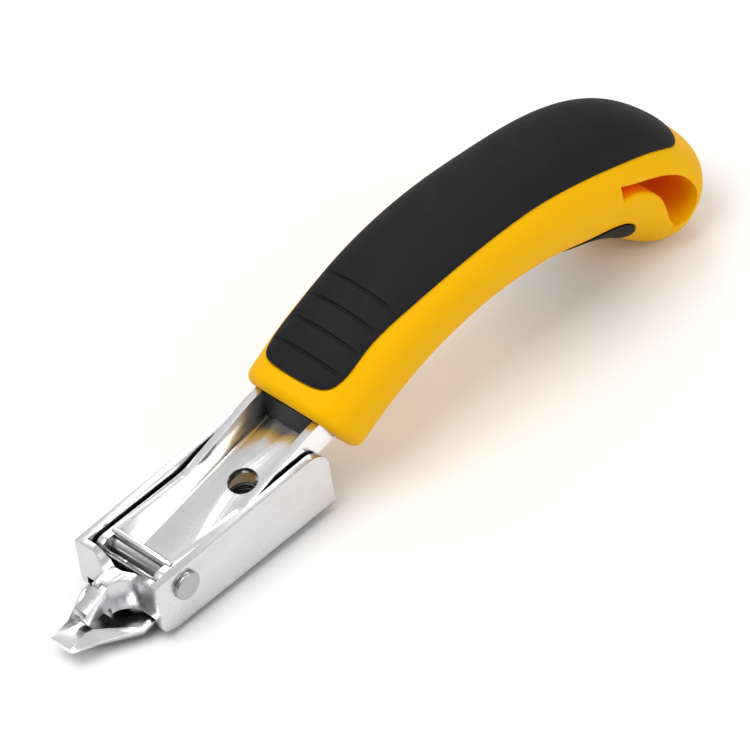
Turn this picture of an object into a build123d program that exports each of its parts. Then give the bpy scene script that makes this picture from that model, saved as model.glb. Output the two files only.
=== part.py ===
"""Upholstery staple remover: a lever with a chisel jaw, riveted into a bracket with a beak jaw.

The tool is drawn in the bracket's own frame, in millimetres: X runs from the jaws towards
the butt of the handle, Y to the tool's left and Z up, with X = 0 and Z = 0 at the front top
corner of the bracket. Last, every piece is tipped and shifted together, so the tool stands
on Z = 0 as it lies on a bench, with its footprint centred on the Z axis.
"""
import math
import os

from build123d import *

# ---- jaw bracket, a U pressing open at the front and on top ----
BRACKET_LENGTH = 48.2
BRACKET_WIDTH = 22.4
BRACKET_SHEET = 1.75
BRACKET_DEPTH = 16.3
KINK_X = 11.5
KINK_DEPTH = 15.4
FRONT_DEPTH = 12.4
FLANGE_DEPTH = 9.2
FLANGE_DIP = 1.5
BEAK_REACH = 11.0
BEAK_THICKNESS = 3.2
BEAK_LOW = 7.4

# ---- lever, a U channel on a slope, with the chisel jaw at its front ----
LEVER_WIDTH = 17.4
LEVER_SHEET = 1.75
LEVER_SLOPE = 9.7
LEVER_FLOOR_Z = -11.42
LEVER_FRONT = 2.7
FOLD_R = 0.9
TANG_END = 80.0
WALL_KINK_X = 27.5
WALL_TOP_FRONT = -0.9
WALL_TOP_KINK = -1.9
WALL_TOP_HANDLE = 3.3
FLOOR_HOLE_X = 35.0
FLOOR_HOLE_R = 3.2
CHISEL_TIP_X = -16.8
CHISEL_NECK_X = -10.4
CHISEL_ROOT_X = -2.4
CHISEL_CORNER_R = 0.9

# ---- pivot and small parts ----
PIVOT_X = 7.6
PIVOT_Z = -4.6
RIVET_R = 2.2
RIVET_FIT = 0.05
RIVET_HEAD_R = 3.1
RIVET_HEAD = 1.0
PIN_R = 0.85
PIN_X = 7.4
PIN_Z = -1.3
SPRING_X = FLOOR_HOLE_X
SPRING_R = 3.1
SPRING_WIRE_R = 0.45
SPRING_TURNS = 4

# ---- handle: sections strung along two tangent arcs ----
SPINE_START = (52.3, -0.9)
SPINE_SLOPE = 30.0
ARC_1_R = 84.0
ARC_1_TURN = 50.5
ARC_2_R = 55.0
ARC_2_TURN = 30.5
MOUTH_HALF_WIDTH = 13.4
BUTT_HALF_WIDTH = 13.9
HALF_UP = 11.4
HALF_DOWN = 11.75
MOUTH_EASE = 2.4
HUMP = 3.3
HUMP_MIDDLE = 0.83
HUMP_REACH = 0.29
SECTION_POWER = 2.24
SECTION_POINTS = 20
SEAM_TURN = 0.3
SECTIONS = 10
CAP_ANGLES = (24, 44, 60, 73, 84)
PAD_DEPTH = 1.8
PAD_PROUD = 0.3
PAD_GAP = 0.3
SOCKET_GAP = 0.05
LIP_ROUND = 1.0
GROOVE_START = 9.1
GROOVE_STEP = 5.0
GROOVE_SWEEP_R = 22.0
GROOVE_R = 0.45

# ---- how the tool lies on a bench ----
REST_TILT = 3.45

FLOOR_TAN = math.tan(math.radians(LEVER_SLOPE))
LEVER_INNER = LEVER_WIDTH / 2 - LEVER_SHEET
BRACKET_INNER = BRACKET_WIDTH / 2 - BRACKET_SHEET
ARC_1 = math.radians(ARC_1_TURN) * ARC_1_R
SPINE_LENGTH = ARC_1 + math.radians(ARC_2_TURN) * ARC_2_R


def slab(points, y_low, y_high):
    """A side view outline in X and Z, given thickness from y_low to y_high."""
    outline = Polyline([(x, 0, z) for x, z in points], close=True)
    face = make_face(outline)
    solid = extrude(face, amount=y_high - y_low, dir=(0, 1, 0))
    return Pos(0, y_low, 0) * solid


def lever_floor(x):
    """Height of the lever floor's upper face at X."""
    return LEVER_FLOOR_Z + x * FLOOR_TAN


def cross_rod(x, z, radius, y_low, y_high):
    """A round rod along Y."""
    rod = Cylinder(radius, y_high - y_low, rotation=(90, 0, 0))
    return Pos(x, (y_low + y_high) / 2, z) * rod


def folded_channel(width, sheet, fold, height):
    """A U section of bent sheet, open on top, with rounded folds, drawn in the Y-Z plane."""
    half = width / 2
    inner = half - sheet
    corners = [
        (half, height),
        (half, -sheet),
        (-half, -sheet),
        (-half, height),
        (-inner, height),
        (-inner, 0),
        (inner, 0),
        (inner, height),
    ]
    face = make_face(Polyline(corners, close=True))
    face = fillet(face.vertices().group_by(Axis.Y)[0], fold + sheet * 0.8)
    inside = face.vertices().filter_by(lambda v: abs(v.Y) < 0.01 and abs(abs(v.X) - inner) < 0.01)
    return fillet(inside, fold)


# ---------------------------------------------------------------- bracket
def bracket_cheeks():
    """Both cheeks and the web under the lever; the web stops behind the open front."""
    drop = math.atan2(BRACKET_DEPTH - KINK_DEPTH, BRACKET_LENGTH - KINK_X)
    along = (math.cos(drop), 0, -math.sin(drop))
    floor_z = -KINK_DEPTH + BRACKET_SHEET + (KINK_X + 4) * math.tan(drop)
    start = Plane(origin=(-4, 0, floor_z), x_dir=(0, 1, 0), z_dir=along)
    channel = extrude(start * folded_channel(BRACKET_WIDTH, BRACKET_SHEET, 0.6, 25), amount=60)
    profile = [
        (0, 0),
        (0, -FRONT_DEPTH),
        (KINK_X, -KINK_DEPTH),
        (KINK_X + 0.6, -BRACKET_DEPTH),
        (BRACKET_LENGTH, -BRACKET_DEPTH),
        (BRACKET_LENGTH, 0),
    ]
    side_view = slab(profile, -20, 20)
    across = side_view.edges().filter_by(Axis.Y)
    side_view = fillet(across.sort_by_distance((BRACKET_LENGTH, 0, 0))[:1], 4.8)
    across = side_view.edges().filter_by(Axis.Y)
    side_view = fillet(across.sort_by_distance((BRACKET_LENGTH, 0, -BRACKET_DEPTH))[:1], 2.4)
    across = side_view.edges().filter_by(Axis.Y)
    side_view = fillet(across.sort_by_distance((0, 0, -FRONT_DEPTH))[:1], 2.4)
    mouth = slab(
        [(-5, -30), (KINK_X + 0.6, -30), (KINK_X + 0.6, 5), (-5, 5)], -BRACKET_INNER, BRACKET_INNER
    )
    return (channel & side_view) - mouth


def flange(side):
    """A front flange: it turns in from the cheek, dips, and sweeps forward at the middle."""
    edge = BRACKET_WIDTH / 2
    layer = BEAK_THICKNESS / 2
    nose = 5.2 if side > 0 else 4.2
    with BuildSketch() as plan:
        with BuildLine():
            sweep_out = ThreePointArc((0, 6.4), (-1.2, 3.2), (-nose, layer))
            Polyline(sweep_out @ 1, (-nose, 0), (0.2, 0), (BRACKET_SHEET, 3.4))
            Polyline((BRACKET_SHEET, 3.4), (BRACKET_SHEET, edge), (0, edge), (0, 6.4))
        make_face()
    wall = extrude(plan.sketch, amount=-FLANGE_DEPTH)
    dip_start = edge - 1.6 if side < 0 else 7.2
    dip_points = [(0, dip_start, 0), (0, 4.0, -FLANGE_DIP), (0, 0, -FLANGE_DIP)]
    dip_edge = Spline(dip_points, tangents=[(0, -1, 0), (0, -1, 0)])
    closing = Polyline([dip_edge @ 1, (0, 0, 5), (0, dip_start, 5), dip_edge @ 0])
    dip = extrude(make_face([dip_edge, closing]), amount=20, dir=(1, 0, 0))
    wall = wall - Pos(-10, 0, 0) * dip
    corner = wall.edges().filter_by(Axis.Z).sort_by_distance((0, edge, -FLANGE_DEPTH / 2))[:1]
    wall = fillet(corner, 1.5)
    return wall if side > 0 else mirror(wall, about=Plane.XZ)


def beak():
    """The upper jaw: a blade on the mid plane that slopes down to a rounded end."""
    blade = slab(
        [
            (0.6, -FLANGE_DIP),
            (-3.4, -FLANGE_DIP - 0.2),
            (-BEAK_REACH + 0.6, -4.2),
            (-BEAK_REACH, -5.2),
            (-BEAK_REACH + 0.5, -BEAK_LOW),
            (-4.6, -BEAK_LOW),
            (-2.2, -FLANGE_DEPTH),
            (0.6, -FLANGE_DEPTH),
        ],
        -BEAK_THICKNESS / 2,
        BEAK_THICKNESS / 2,
    )
    nose = blade.edges().filter_by(Axis.Y).sort_by(Axis.X)[:3]
    return fillet(nose, 0.55)


def jaw_bracket():
    shell = bracket_cheeks() + flange(1) + flange(-1) + beak()
    return shell - cross_rod(PIVOT_X, PIVOT_Z, RIVET_R + 0.02, -20, 20)


# ---------------------------------------------------------------- lever
def chisel_section(x, half_top, z_top, half_rim, z_rim, half_base, z_base):
    """A six sided section of the chisel jaw across the tool."""
    corners = [
        (half_top, z_top),
        (half_rim, z_rim),
        (half_base, z_base),
        (-half_base, z_base),
        (-half_rim, z_rim),
        (-half_top, z_top),
    ]
    return make_face(Polyline([(x, y, z) for y, z in corners], close=True))


def chisel():
    """The lower jaw: a blunt tip that widens into a dished scoop as wide as the lever."""
    tip = chisel_section(CHISEL_TIP_X, 2.7, -8.2, 3.1, -8.7, 2.9, -9.2)
    neck = chisel_section(CHISEL_NECK_X, 1.3, -8.6, 4.6, -9.9, 4.0, -11.3)
    rear_half = LEVER_WIDTH / 2
    root = chisel_section(
        CHISEL_ROOT_X, 6.2, -10.25, rear_half, -10.4, rear_half - 1.2, -13.3
    )
    collar = chisel_section(
        LEVER_FRONT + 1.5, 6.2, -10.25, rear_half, -10.4, rear_half - 0.9, -12.6
    )
    blade = loft([tip, neck], ruled=True)
    corners = [blade.edges().sort_by_distance((CHISEL_TIP_X, y, -8.9))[0] for y in (3.0, -3.0)]
    body = fillet(corners, CHISEL_CORNER_R) + loft([neck, root], ruled=True)
    body = body + loft([root, collar], ruled=True)
    dish = make_face(
        Polyline(
            [
                (CHISEL_NECK_X + 0.7, -1.9, 0),
                (CHISEL_ROOT_X, -rear_half + 1.2, 0),
                (8, -LEVER_INNER, 0),
                (8, LEVER_INNER, 0),
                (CHISEL_ROOT_X, rear_half - 1.2, 0),
                (CHISEL_NECK_X + 0.7, 1.9, 0),
            ],
            close=True,
        )
    )
    cavity = extrude(dish, amount=-20)
    under = slab(
        [
            (-20, -9.7),
            (CHISEL_NECK_X + 0.7, -9.7),
            (-3.4, lever_floor(-3.4)),
            (10, lever_floor(10)),
            (10, -30),
            (-20, -30),
        ],
        -20,
        20,
    )
    return body - (cavity - under)


def lever_body():
    """Floor and walls: the channel runs up its slope, and its wall tops follow the tool."""
    slope = (math.cos(math.radians(LEVER_SLOPE)), 0, math.sin(math.radians(LEVER_SLOPE)))
    start = Plane(origin=(-2, 0, lever_floor(-2)), x_dir=(0, 1, 0), z_dir=slope)
    channel = extrude(start * folded_channel(LEVER_WIDTH, LEVER_SHEET, FOLD_R, 14), amount=90)
    side_view = slab(
        [
            (LEVER_FRONT, -20),
            (TANG_END, -10),
            (TANG_END, lever_floor(TANG_END) + 4.2),
            (54.0, WALL_TOP_HANDLE + 1.3),
            (46.0, WALL_TOP_HANDLE),
            (WALL_KINK_X, WALL_TOP_KINK),
            (LEVER_FRONT, WALL_TOP_FRONT),
        ],
        -20,
        20,
    )
    across = side_view.edges().filter_by(Axis.Y)
    side_view = fillet(across.sort_by_distance((LEVER_FRONT, 0, WALL_TOP_FRONT))[:1], 2.2)
    across = side_view.edges().filter_by(Axis.Y)
    side_view = fillet(across.sort_by_distance((WALL_KINK_X, 0, WALL_TOP_KINK))[:1], 12)
    return channel & side_view


def lever_channel():
    """Floor, walls, front apron and chisel, folded from one strip."""
    apron = slab(
        [
            (2.7, lever_floor(2.7) - 0.5),
            (4.3, lever_floor(4.3) - 0.5),
            (3.9, -6.0),
            (4.3, -4.0),
            (3.2, -3.3),
            (2.5, -5.6),
        ],
        -LEVER_INNER - 0.1,
        LEVER_INNER + 0.1,
    )
    body = lever_body() + apron + chisel()
    hole = Pos(FLOOR_HOLE_X, 0, lever_floor(FLOOR_HOLE_X)) * Rot(0, -LEVER_SLOPE, 0)
    body = body - hole * Cylinder(FLOOR_HOLE_R, 12)
    body = body - cross_rod(PIVOT_X, PIVOT_Z, RIVET_R + RIVET_FIT, -20, 20)
    return body - cross_rod(PIN_X, PIN_Z, PIN_R - 0.2, -8.0, 8.0)


def pivot_rivet():
    """A shouldered rivet: flat head on the right, spread tail on the left."""
    edge = BRACKET_WIDTH / 2
    shank = cross_rod(PIVOT_X, PIVOT_Z, RIVET_R, -edge, edge)
    head = cross_rod(PIVOT_X, PIVOT_Z, RIVET_HEAD_R, -edge - RIVET_HEAD, -edge)
    head = fillet(head.edges().group_by(Axis.Y)[0], 0.35)
    tail = cross_rod(PIVOT_X, PIVOT_Z, RIVET_HEAD_R - 0.2, edge, edge + RIVET_HEAD - 0.2)
    tail = fillet(tail.edges().group_by(Axis.Y)[-1], 0.7)
    return shank + head + tail


def cross_pin():
    """A plain pin with turned down ends, pressed between the lever's walls."""
    pin = cross_rod(PIN_X, PIN_Z, PIN_R, -LEVER_INNER, LEVER_INNER)
    return pin + cross_rod(PIN_X, PIN_Z, PIN_R - 0.2, -8.0, 8.0)


def return_spring():
    """A compression spring between the bracket's floor and the lever's floor."""
    drop = (BRACKET_DEPTH - KINK_DEPTH) / (BRACKET_LENGTH - KINK_X)
    seat = -KINK_DEPTH - drop * (SPRING_X - KINK_X) + BRACKET_SHEET + SPRING_WIRE_R + 0.05
    top = lever_floor(SPRING_X - SPRING_R) - LEVER_SHEET - SPRING_WIRE_R - 0.3
    height = top - seat
    coil = Helix(height / SPRING_TURNS, height, SPRING_R)
    wire = Plane(origin=coil @ 0, z_dir=coil % 0) * Circle(SPRING_WIRE_R)
    return Pos(SPRING_X, 0, seat) * sweep(wire, path=coil, is_frenet=True)


# ---------------------------------------------------------------- handle
def spine(s):
    """Side view point and slope angle at a distance s along the handle's spine."""
    start = math.radians(SPINE_SLOPE)
    first = min(s, ARC_1)
    turned = start - first / ARC_1_R
    x = SPINE_START[0] + ARC_1_R * (math.sin(start) - math.sin(turned))
    z = SPINE_START[1] + ARC_1_R * (math.cos(turned) - math.cos(start))
    if s > ARC_1:
        bend = turned
        turned = bend - (s - ARC_1) / ARC_2_R
        x += ARC_2_R * (math.sin(bend) - math.sin(turned))
        z += ARC_2_R * (math.cos(turned) - math.cos(bend))
    return x, z, turned


def station(s, n):
    """Side view point at a distance s along the spine and n above it."""
    x, z, angle = spine(s)
    return x - n * math.sin(angle), z + n * math.cos(angle)


def hump(s):
    """How much higher the palm swell stands than the plain section."""
    off = abs(s / SPINE_LENGTH - HUMP_MIDDLE) / HUMP_REACH
    return HUMP * (0.5 + 0.5 * math.cos(math.pi * off)) if off < 1 else 0.0


def section(s, ahead, half_width, half_up, half_down):
    """A superellipse across the spine, set ahead of the spine point along its slope."""
    x, z, angle = spine(s)
    slope = (math.cos(angle), 0, math.sin(angle))
    centre = (x + ahead * slope[0], 0, z + ahead * slope[2])
    plane = Plane(origin=centre, x_dir=(0, 1, 0), z_dir=slope)
    points = []
    for i in range(SECTION_POINTS):
        turn = math.pi * (2 * i / SECTION_POINTS - SEAM_TURN)
        cos, sin = math.cos(turn), math.sin(turn)
        half = half_up if sin > 0 else half_down
        across = math.copysign(abs(cos) ** (2 / SECTION_POWER), cos)
        up = math.copysign(abs(sin) ** (2 / SECTION_POWER), sin)
        points.append((half_width * across, half * up))
    return plane * make_face(Spline(points, periodic=True))


def handle_form(extra):
    """The handle's outside grown by extra: flat at the mouth, round at the butt."""
    faces = []
    for i in range(SECTIONS + 1):
        s = SPINE_LENGTH * i / SECTIONS
        width = MOUTH_HALF_WIDTH + (BUTT_HALF_WIDTH - MOUTH_HALF_WIDTH) * i / SECTIONS + extra
        faces.append(section(s, 0, width, HALF_UP + extra + hump(s), HALF_DOWN + extra))
    round_r = HALF_DOWN + extra
    for turn in CAP_ANGLES:
        ahead = round_r * math.sin(math.radians(turn))
        less = round_r * (1 - math.cos(math.radians(turn)))
        swell = (hump(SPINE_LENGTH) + HALF_UP - HALF_DOWN) * math.cos(math.radians(turn))
        width = BUTT_HALF_WIDTH + extra - less
        faces.append(section(SPINE_LENGTH, ahead, width, round_r - less + swell, round_r - less))
    return loft(faces)


def side_prism(points, tail):
    """A side view region bounded by a smooth curve and closed by the tail points."""
    curve = Spline([(x, 0, z) for x, z in points])
    closing = Polyline([curve @ 1] + [(x, 0, z) for x, z in tail] + [curve @ 0])
    face = make_face([curve, closing])
    return Pos(0, -30, 0) * extrude(face, amount=60, dir=(0, 1, 0))


def top_region(gap):
    """Side view region of the top grip, grown by gap."""
    front = [(4.5, 12.2), (5.3, 10.2), (8.0, 9.0), (15, 8.8)]
    side = [(27, 8.1), (45, 7.4), (62, 7.7), (84, 9.3)]
    rear = [(94, 10.6), (98.4, 12.0), (99.6, 15.0)]
    points = [station(s - gap, n - gap) for s, n in front]
    points += [station(s, n - gap) for s, n in side]
    points += [station(s + gap, n - gap) for s, n in rear]
    tail = [station(101, 22), station(80, 30), station(50, 30), station(20, 30), station(3, 20)]
    return side_prism(points, tail)


def belly_region(gap):
    """Side view region of the belly grip, grown by gap."""
    front = [(61, -12.6), (72, -9.6), (81, -6.0)]
    rear = [(86.6, -4.9), (90.4, -5.9), (92.4, -12.6)]
    points = [station(s - gap, n + gap) for s, n in front]
    points += [station(s + gap, n + gap) for s, n in rear]
    tail = [station(94, -20), station(59, -20)]
    return side_prism(points, tail)


def grip_ribs():
    """Four shallow grooves across the front of the top grip."""
    grooves = []
    for i in range(4):
        s = GROOVE_START + GROOVE_STEP * i
        _, _, angle = spine(s)
        slope = (math.cos(angle), 0, math.sin(angle))
        centre_x, centre_z = station(s, HALF_UP + PAD_PROUD - GROOVE_SWEEP_R)
        plane = Plane(origin=(centre_x, 0, centre_z), z_dir=slope)
        grooves.append(plane * Torus(GROOVE_SWEEP_R, GROOVE_R))
    return grooves


def hang_hole():
    """The crescent hole through the butt, around a rounded inner end."""
    roof_points = [(131.8, 6.4), (142, 0.9), (149.3, -5.2), (151.6, -10.4)]
    lip_points = [(145.4, -15.6), (143.3, -11.0), (142.0, -5.2), (138.4, -0.5), (131.6, 2.4)]
    roof = Spline([(x, 0, z) for x, z in roof_points])
    lip = Spline([(x, 0, z) for x, z in lip_points])
    turn = ThreePointArc(roof @ 1, (149.9, 0, -14.6), lip @ 0)
    face = make_face([roof, turn, lip, Line(lip @ 1, roof @ 0)])
    return Pos(0, -30, 0) * extrude(face, amount=60, dir=(0, 1, 0))


def round_lip(shell):
    """Rounds the edges of the hang hole's inner end on both sides of the handle."""
    lip = []
    for side in (1, -1):
        lip.append(shell.edges().sort_by_distance((140.5, side * BUTT_HALF_WIDTH, -2.5))[0])
    return fillet(lip, LIP_ROUND)


def tang_socket():
    """The room the tang and the plug take up inside the handle."""
    gap = SOCKET_GAP
    wide = LEVER_WIDTH / 2 + gap
    return slab(
        [
            (30, lever_floor(30) - LEVER_SHEET - gap),
            (TANG_END + gap, lever_floor(TANG_END + gap) - LEVER_SHEET - gap),
            (TANG_END + gap, lever_floor(TANG_END) + 4.2 + gap),
            (54.0, WALL_TOP_HANDLE + 1.3 + gap),
            (46.0, WALL_TOP_HANDLE + gap),
            (30.0, WALL_TOP_HANDLE - 4 + gap),
        ],
        -wide,
        wide,
    )


def handle_shell():
    """The hard handle, with the tang's socket, two grip pockets and the hang hole."""
    pockets = handle_form(2.0) - handle_form(-PAD_DEPTH - 0.02)
    shell = handle_form(0)
    mouth = shell.faces().sort_by_distance((SPINE_START[0], 0, SPINE_START[1]))[0]
    shell = fillet(mouth.outer_wire().edges(), MOUTH_EASE)
    shell = shell - tang_socket() - hang_hole()
    shell = round_lip(shell)
    shell = shell - (pockets & top_region(PAD_GAP))
    return shell - (pockets & belly_region(PAD_GAP))


def grip(region):
    skin = handle_form(PAD_PROUD) - handle_form(-PAD_DEPTH)
    return skin & region


def top_grip():
    return grip(top_region(0)) - grip_ribs()


def belly_grip():
    return grip(belly_region(0))


def mouth_plug():
    """The soft plug that closes the channel where it enters the handle."""
    wide = LEVER_INNER - SOCKET_GAP
    plug = slab(
        [
            (49.5, lever_floor(49.5) + SOCKET_GAP),
            (62.0, lever_floor(62.0) + SOCKET_GAP),
            (62.0, WALL_TOP_HANDLE + 1.6),
            (54.0, WALL_TOP_HANDLE + 1.3),
            (49.5, WALL_TOP_HANDLE + 0.2),
        ],
        -wide,
        wide,
    )
    low = [plug.edges().sort_by_distance((56, y, lever_floor(56)))[0] for y in (wide, -wide)]
    return fillet(low, FOLD_R + 0.2)


def main():
    pieces = {
        "jaw_bracket": jaw_bracket(),
        "lever_channel": lever_channel(),
        "pivot_rivet": pivot_rivet(),
        "cross_pin": cross_pin(),
        "return_spring": return_spring(),
        "mouth_plug": mouth_plug(),
        "handle_shell": handle_shell(),
        "top_grip": top_grip(),
        "belly_grip": belly_grip(),
    }
    tipped = {name: Rot(0, -REST_TILT, 0) * piece for name, piece in pieces.items()}
    box = Compound(children=[Compound(p.solids()) for p in tipped.values()]).bounding_box()
    shift = Pos(-box.center().X, -box.center().Y, -box.min.Z)
    print("shift", shift.position)
    os.makedirs("parts", exist_ok=True)
    for name, piece in tipped.items():
        placed = Compound((shift * piece).solids())
        print(name, len(placed.solids()), round(placed.volume), placed.bounding_box())
        export_step(placed, f"parts/{name}.step")


main()
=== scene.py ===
"""Looks for an upholstery staple remover: plated steel jaws on a two tone moulded handle."""
import math

import bmesh
import bpy
from mathutils import Matrix, Vector


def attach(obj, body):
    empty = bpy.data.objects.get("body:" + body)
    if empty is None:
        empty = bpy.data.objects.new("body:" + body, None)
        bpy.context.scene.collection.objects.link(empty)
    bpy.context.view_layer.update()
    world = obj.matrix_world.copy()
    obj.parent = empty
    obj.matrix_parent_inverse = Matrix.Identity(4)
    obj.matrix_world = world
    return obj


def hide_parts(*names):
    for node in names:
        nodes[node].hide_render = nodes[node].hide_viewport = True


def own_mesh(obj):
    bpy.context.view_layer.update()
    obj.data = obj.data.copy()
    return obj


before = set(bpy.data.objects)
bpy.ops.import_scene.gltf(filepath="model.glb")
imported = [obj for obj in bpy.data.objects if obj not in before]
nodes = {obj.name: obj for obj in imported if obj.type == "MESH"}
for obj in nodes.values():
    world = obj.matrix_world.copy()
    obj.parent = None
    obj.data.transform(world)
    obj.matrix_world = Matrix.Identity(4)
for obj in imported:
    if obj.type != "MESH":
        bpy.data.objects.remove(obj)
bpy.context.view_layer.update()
MM = 0.001

# ---- camera: seen from the jaws' end, from the tool's right and above ----
VIEW_AZIMUTH = math.radians(-41.6)
VIEW_ELEVATION = math.radians(42.9)
VIEW_ROLL = math.radians(-6.3)
VIEW_DISTANCE = 3.0
VIEW_WIDTH = 0.1481
SENSOR_WIDTH = 36.0
NEAR_CLIP = 0.01
AIM = Vector((0.00106, 0.0, 0.01256))

# ---- cleaning of a CAD skin, and the rounding of its hard edges ----
WELD_DISTANCE = 0.002 * MM
FLAT_ANGLE = math.radians(0.6)
HARD_ANGLE = math.radians(28)
ROUNDING_SEGMENTS = 3

# ---- patterns that vary a material: a higher scale is finer, more detail is rougher ----
TONE_SCALE = 60.0
GLOSS_SCALE = 220.0
SOFT_DETAIL = 4.0
GRAIN_DETAIL = 8.0
GRAIN_STRENGTH = 0.6

# ---- painted shade in recesses: the openness that gets the full painted shade, and the openness that is left unshaded ----
RECESS_FULL_PAINTED_SHADE = 0.15
RECESS_NO_PAINTED_SHADE = 0.60
RECESS_SAMPLES = 24

# ---- sky: its brightness low and high, and the heights that it changes between ----
SKY_LOW = 0.06
SKY_HIGH = 0.62
SKY_LOW_HEIGHT = 0.12
SKY_HIGH_HEIGHT = 0.42

# ---- floor, and the lamps' names, places, widths in metres and powers in watts ----
FLOOR_REACH = 3.0
LAMPS = (
    ("key", (-0.35, 0.05, 0.80), 0.55, 4.4),
    ("fill", (0.35, -0.70, 0.50), 0.50, 2.4),
    ("rim", (0.45, 0.55, 0.50), 0.40, 1.2),
)


def noise_mix(tree, scale, low, high, detail=SOFT_DETAIL):
    """A value that wanders between low and high over the surface, fed by object coordinates."""
    coords = tree.nodes.new("ShaderNodeTexCoord")
    noise = tree.nodes.new("ShaderNodeTexNoise")
    noise.inputs["Scale"].default_value = scale
    noise.inputs["Detail"].default_value = detail
    spread = tree.nodes.new("ShaderNodeMapRange")
    spread.inputs["To Min"].default_value = low
    spread.inputs["To Max"].default_value = high
    tree.links.new(coords.outputs["Object"], noise.inputs["Vector"])
    tree.links.new(noise.outputs["Fac"], spread.inputs["Value"])
    return spread.outputs["Result"]


def colour_mix(tree, factor, dark, light):
    """A colour between dark and light by factor."""
    mix = tree.nodes.new("ShaderNodeMix")
    mix.data_type = "RGBA"
    mix.inputs["A"].default_value = (*dark, 1.0)
    mix.inputs["B"].default_value = (*light, 1.0)
    tree.links.new(factor, mix.inputs["Factor"])
    return mix.outputs["Result"]


def add_bump(tree, shader, height, distance, strength):
    """Fine relief on the shader, distance deep where height is full."""
    bump = tree.nodes.new("ShaderNodeBump")
    bump.inputs["Distance"].default_value = distance
    bump.inputs["Strength"].default_value = strength
    tree.links.new(height, bump.inputs["Height"])
    tree.links.new(bump.outputs["Normal"], shader.inputs["Normal"])


def paint_shade_in_recesses(tree, colour, reach, own_folds_only, painted_shade_colour):
    """The colour, blended by ambient occlusion towards a painted shade colour in folds and
    cavities narrower than reach.
    """
    cover = tree.nodes.new("ShaderNodeAmbientOcclusion")
    cover.samples = RECESS_SAMPLES
    cover.only_local = own_folds_only
    cover.inputs["Distance"].default_value = reach
    curve = tree.nodes.new("ShaderNodeMapRange")
    curve.inputs["From Min"].default_value = RECESS_FULL_PAINTED_SHADE
    curve.inputs["From Max"].default_value = RECESS_NO_PAINTED_SHADE
    mix = tree.nodes.new("ShaderNodeMix")
    mix.data_type = "RGBA"
    mix.inputs["A"].default_value = (*painted_shade_colour, 1.0)
    tree.links.new(cover.outputs["AO"], curve.inputs["Value"])
    tree.links.new(curve.outputs["Result"], mix.inputs["Factor"])
    tree.links.new(colour, mix.inputs["B"])
    return mix.outputs["Result"]


def surface(
    name, dark, light, rough, metallic, grain_scale, grain_depth, specular=0.5, recess_painted_shade=None
):
    """A material whose colour, roughness and fine relief all vary over the surface, with painted
    shade in recesses where asked.
    """
    material = bpy.data.materials.new(name)
    material.use_nodes = True
    tree = material.node_tree
    shader = tree.nodes["Principled BSDF"]
    shader.inputs["Metallic"].default_value = metallic
    shader.inputs["Specular IOR Level"].default_value = specular
    tone = noise_mix(tree, TONE_SCALE, 0.0, 1.0)
    colour = colour_mix(tree, tone, dark, light)
    if recess_painted_shade:
        # painted shade: the colour is darkened in folds, cavities and gaps
        colour = paint_shade_in_recesses(tree, colour, **recess_painted_shade)
    tree.links.new(colour, shader.inputs["Base Color"])
    tree.links.new(noise_mix(tree, GLOSS_SCALE, *rough), shader.inputs["Roughness"])
    grain = noise_mix(tree, grain_scale, 0.0, 1.0, GRAIN_DETAIL)
    add_bump(tree, shader, grain, grain_depth, GRAIN_STRENGTH)
    return material


PLATING = surface(
    "plating", dark=(0.86, 0.86, 0.87), light=(0.95, 0.95, 0.96), rough=(0.16, 0.26),
    metallic=1.0, grain_scale=900.0, grain_depth=0.02 * MM,
    # painted shade: plated faces in cavities and gaps within 5.5 mm, also between pieces, are
    # darkened to near black
    recess_painted_shade={"reach": 5.5 * MM, "own_folds_only": False, "painted_shade_colour": (0.02, 0.02, 0.02)},
)
BRACKET_PLATING = surface(
    "bracket plating", dark=(0.64, 0.64, 0.65), light=(0.74, 0.74, 0.75), rough=(0.22, 0.34),
    metallic=1.0, grain_scale=900.0, grain_depth=0.03 * MM,
    # painted shade: bracket faces in cavities and gaps within 7 mm, also against neighbouring
    # pieces, are darkened to near black
    recess_painted_shade={"reach": 7.0 * MM, "own_folds_only": False, "painted_shade_colour": (0.01, 0.01, 0.01)},
)
RIVET = surface(
    "rivet steel", dark=(0.40, 0.40, 0.40), light=(0.50, 0.50, 0.50), rough=(0.24, 0.36),
    metallic=1.0, grain_scale=2500.0, grain_depth=0.03 * MM,
)
SPRING = surface(
    "spring steel", dark=(0.05, 0.05, 0.05), light=(0.08, 0.08, 0.08), rough=(0.35, 0.5),
    metallic=1.0, grain_scale=2500.0, grain_depth=0.03 * MM,
)
YELLOW = surface(
    "yellow plastic", dark=(0.83, 0.43, 0.0), light=(0.88, 0.465, 0.0), rough=(0.46, 0.58),
    metallic=0.0, grain_scale=2600.0, grain_depth=0.04 * MM, specular=0.06,
    # painted shade: folds and hollows of the yellow shell within 13 mm, such as the hang hole,
    # are pulled to a deep orange-red, a painted shade with a painted warm glow of bounced light
    recess_painted_shade={"reach": 13.0 * MM, "own_folds_only": True, "painted_shade_colour": (1.0, 0.18, 0.0)},
)
GRIP = surface(
    "grip rubber", dark=(0.002, 0.002, 0.002), light=(0.007, 0.007, 0.007), rough=(0.62, 0.78),
    metallic=0.0, grain_scale=3200.0, grain_depth=0.12 * MM, specular=0.25,
)
PLUG = surface(
    "plug plastic", dark=(0.006, 0.006, 0.006), light=(0.010, 0.010, 0.010), rough=(0.5, 0.6),
    metallic=0.0, grain_scale=2600.0, grain_depth=0.06 * MM, specular=0.25,
)


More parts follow.
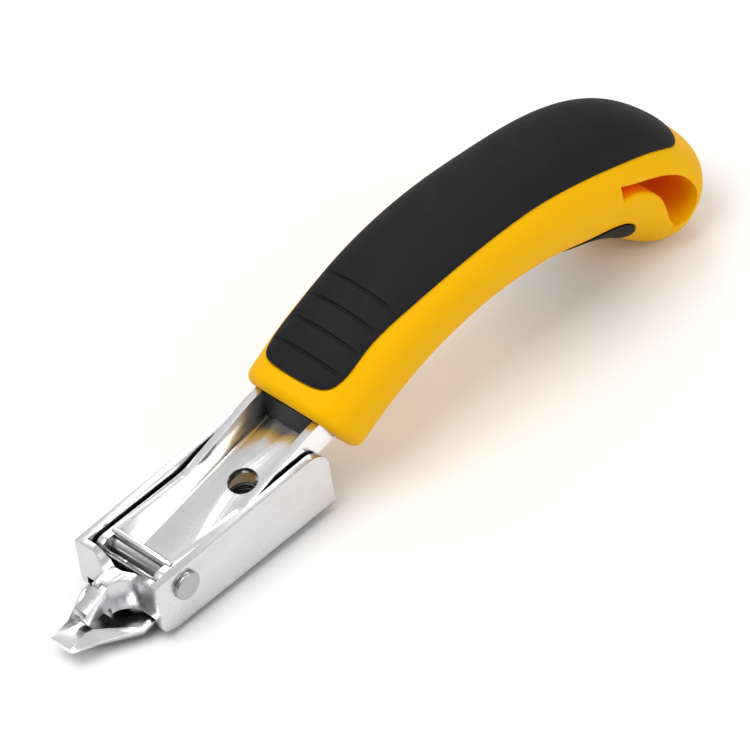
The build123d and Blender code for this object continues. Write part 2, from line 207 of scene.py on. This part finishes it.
def bevelled(node, body, material, width):
    """A copy of a CAD node's skin with its hard edges rounded, which then stands for the node."""
    skin = bmesh.new()
    skin.from_mesh(nodes[node].data)
    bmesh.ops.remove_doubles(skin, verts=skin.verts, dist=WELD_DISTANCE)
    bmesh.ops.dissolve_limit(
        skin, angle_limit=FLAT_ANGLE, verts=skin.verts, edges=skin.edges
    )
    mesh = bpy.data.meshes.new(node + "_skin")
    skin.to_mesh(mesh)
    skin.free()
    mesh.materials.append(material)
    for polygon in mesh.polygons:
        polygon.use_smooth = True
    piece = bpy.data.objects.new(node + "_skin", mesh)
    bpy.context.collection.objects.link(piece)
    rounding = piece.modifiers.new("rounding", "BEVEL")
    rounding.width = width
    rounding.segments = ROUNDING_SEGMENTS
    rounding.limit_method = "ANGLE"
    rounding.angle_limit = HARD_ANGLE
    rounding.use_clamp_overlap = True
    rounding.harden_normals = True
    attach(piece, body)
    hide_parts(node)
    return piece


bevelled("jaw_bracket", "bracket", BRACKET_PLATING, width=0.22 * MM)
bevelled("lever_channel", "handle", PLATING, width=0.30 * MM)
bevelled("pivot_rivet", "bracket", RIVET, width=0.12 * MM)
bevelled("cross_pin", "handle", PLATING, width=0.15 * MM)
bevelled("handle_shell", "handle", YELLOW, width=0.45 * MM)
bevelled("top_grip", "handle", GRIP, width=0.25 * MM)
bevelled("belly_grip", "handle", GRIP, width=0.30 * MM)
spring = bevelled("return_spring", "bracket", SPRING, width=0.05 * MM)
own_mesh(spring)
plug = nodes["mouth_plug"].data
plug.materials.clear()
plug.materials.append(PLUG)


def area_light(name, place, size, power):
    """A soft square lamp at place that faces AIM."""
    lamp = bpy.data.lights.new(name, "AREA")
    lamp.size = size
    lamp.energy = power
    holder = bpy.data.objects.new(name, lamp)
    holder.location = place
    holder.rotation_euler = (AIM - Vector(place)).to_track_quat("-Z", "Y").to_euler()
    bpy.context.collection.objects.link(holder)


def studio_sky():
    """A sky that is dark along the horizon and pale above, so plated faces show contrast."""
    world = bpy.data.worlds.new("studio")
    world.use_nodes = True
    tree = world.node_tree
    coords = tree.nodes.new("ShaderNodeTexCoord")
    split = tree.nodes.new("ShaderNodeSeparateXYZ")
    ramp = tree.nodes.new("ShaderNodeValToRGB")
    ramp.color_ramp.interpolation = "EASE"
    stops = ((SKY_LOW_HEIGHT, SKY_LOW), (SKY_HIGH_HEIGHT, SKY_HIGH))
    for element, (height, level) in zip(ramp.color_ramp.elements, stops):
        element.position = height
        element.color = (level, level, level, 1.0)
    tree.links.new(coords.outputs["Generated"], split.inputs["Vector"])
    tree.links.new(split.outputs["Z"], ramp.inputs["Fac"])
    tree.links.new(ramp.outputs["Color"], tree.nodes["Background"].inputs["Color"])
    return world


def studio():
    """A pale floor, the sky and the soft lamps."""
    floor_mesh = bpy.data.meshes.new("floor")
    corners = [
        (-FLOOR_REACH, -FLOOR_REACH, 0), (FLOOR_REACH, -FLOOR_REACH, 0),
        (FLOOR_REACH, FLOOR_REACH, 0), (-FLOOR_REACH, FLOOR_REACH, 0),
    ]
    floor_mesh.from_pydata(corners, [], [(0, 1, 2, 3)])
    floor = bpy.data.objects.new("floor", floor_mesh)
    bpy.context.collection.objects.link(floor)
    paint = surface(
        "floor paint", dark=(0.86, 0.86, 0.86), light=(0.90, 0.90, 0.90), rough=(0.7, 0.8),
        metallic=0.0, grain_scale=200.0, grain_depth=0.01 * MM,
    )
    floor_mesh.materials.append(paint)
    for name, place, size, power in LAMPS:
        area_light(name, place, size, power)
    bpy.context.scene.world = studio_sky()
    bpy.context.scene.view_settings.view_transform = "Standard"


def camera():
    """The viewing direction from azimuth, elevation and roll, looking at AIM."""
    back = Vector((
        math.sin(VIEW_AZIMUTH) * math.cos(VIEW_ELEVATION),
        -math.cos(VIEW_AZIMUTH) * math.cos(VIEW_ELEVATION),
        math.sin(VIEW_ELEVATION),
    ))
    data = bpy.data.cameras.new("camera")
    data.sensor_width = SENSOR_WIDTH
    data.lens = SENSOR_WIDTH * VIEW_DISTANCE / VIEW_WIDTH
    data.clip_start = NEAR_CLIP
    holder = bpy.data.objects.new("camera", data)
    place = Matrix.Translation(AIM + back * VIEW_DISTANCE)
    facing = back.to_track_quat("Z", "Y").to_matrix().to_4x4()
    roll = Matrix.Rotation(VIEW_ROLL, 4, "Z")
    holder.matrix_world = place @ facing @ roll
    bpy.context.collection.objects.link(holder)
    bpy.context.scene.camera = holder


studio()
camera()
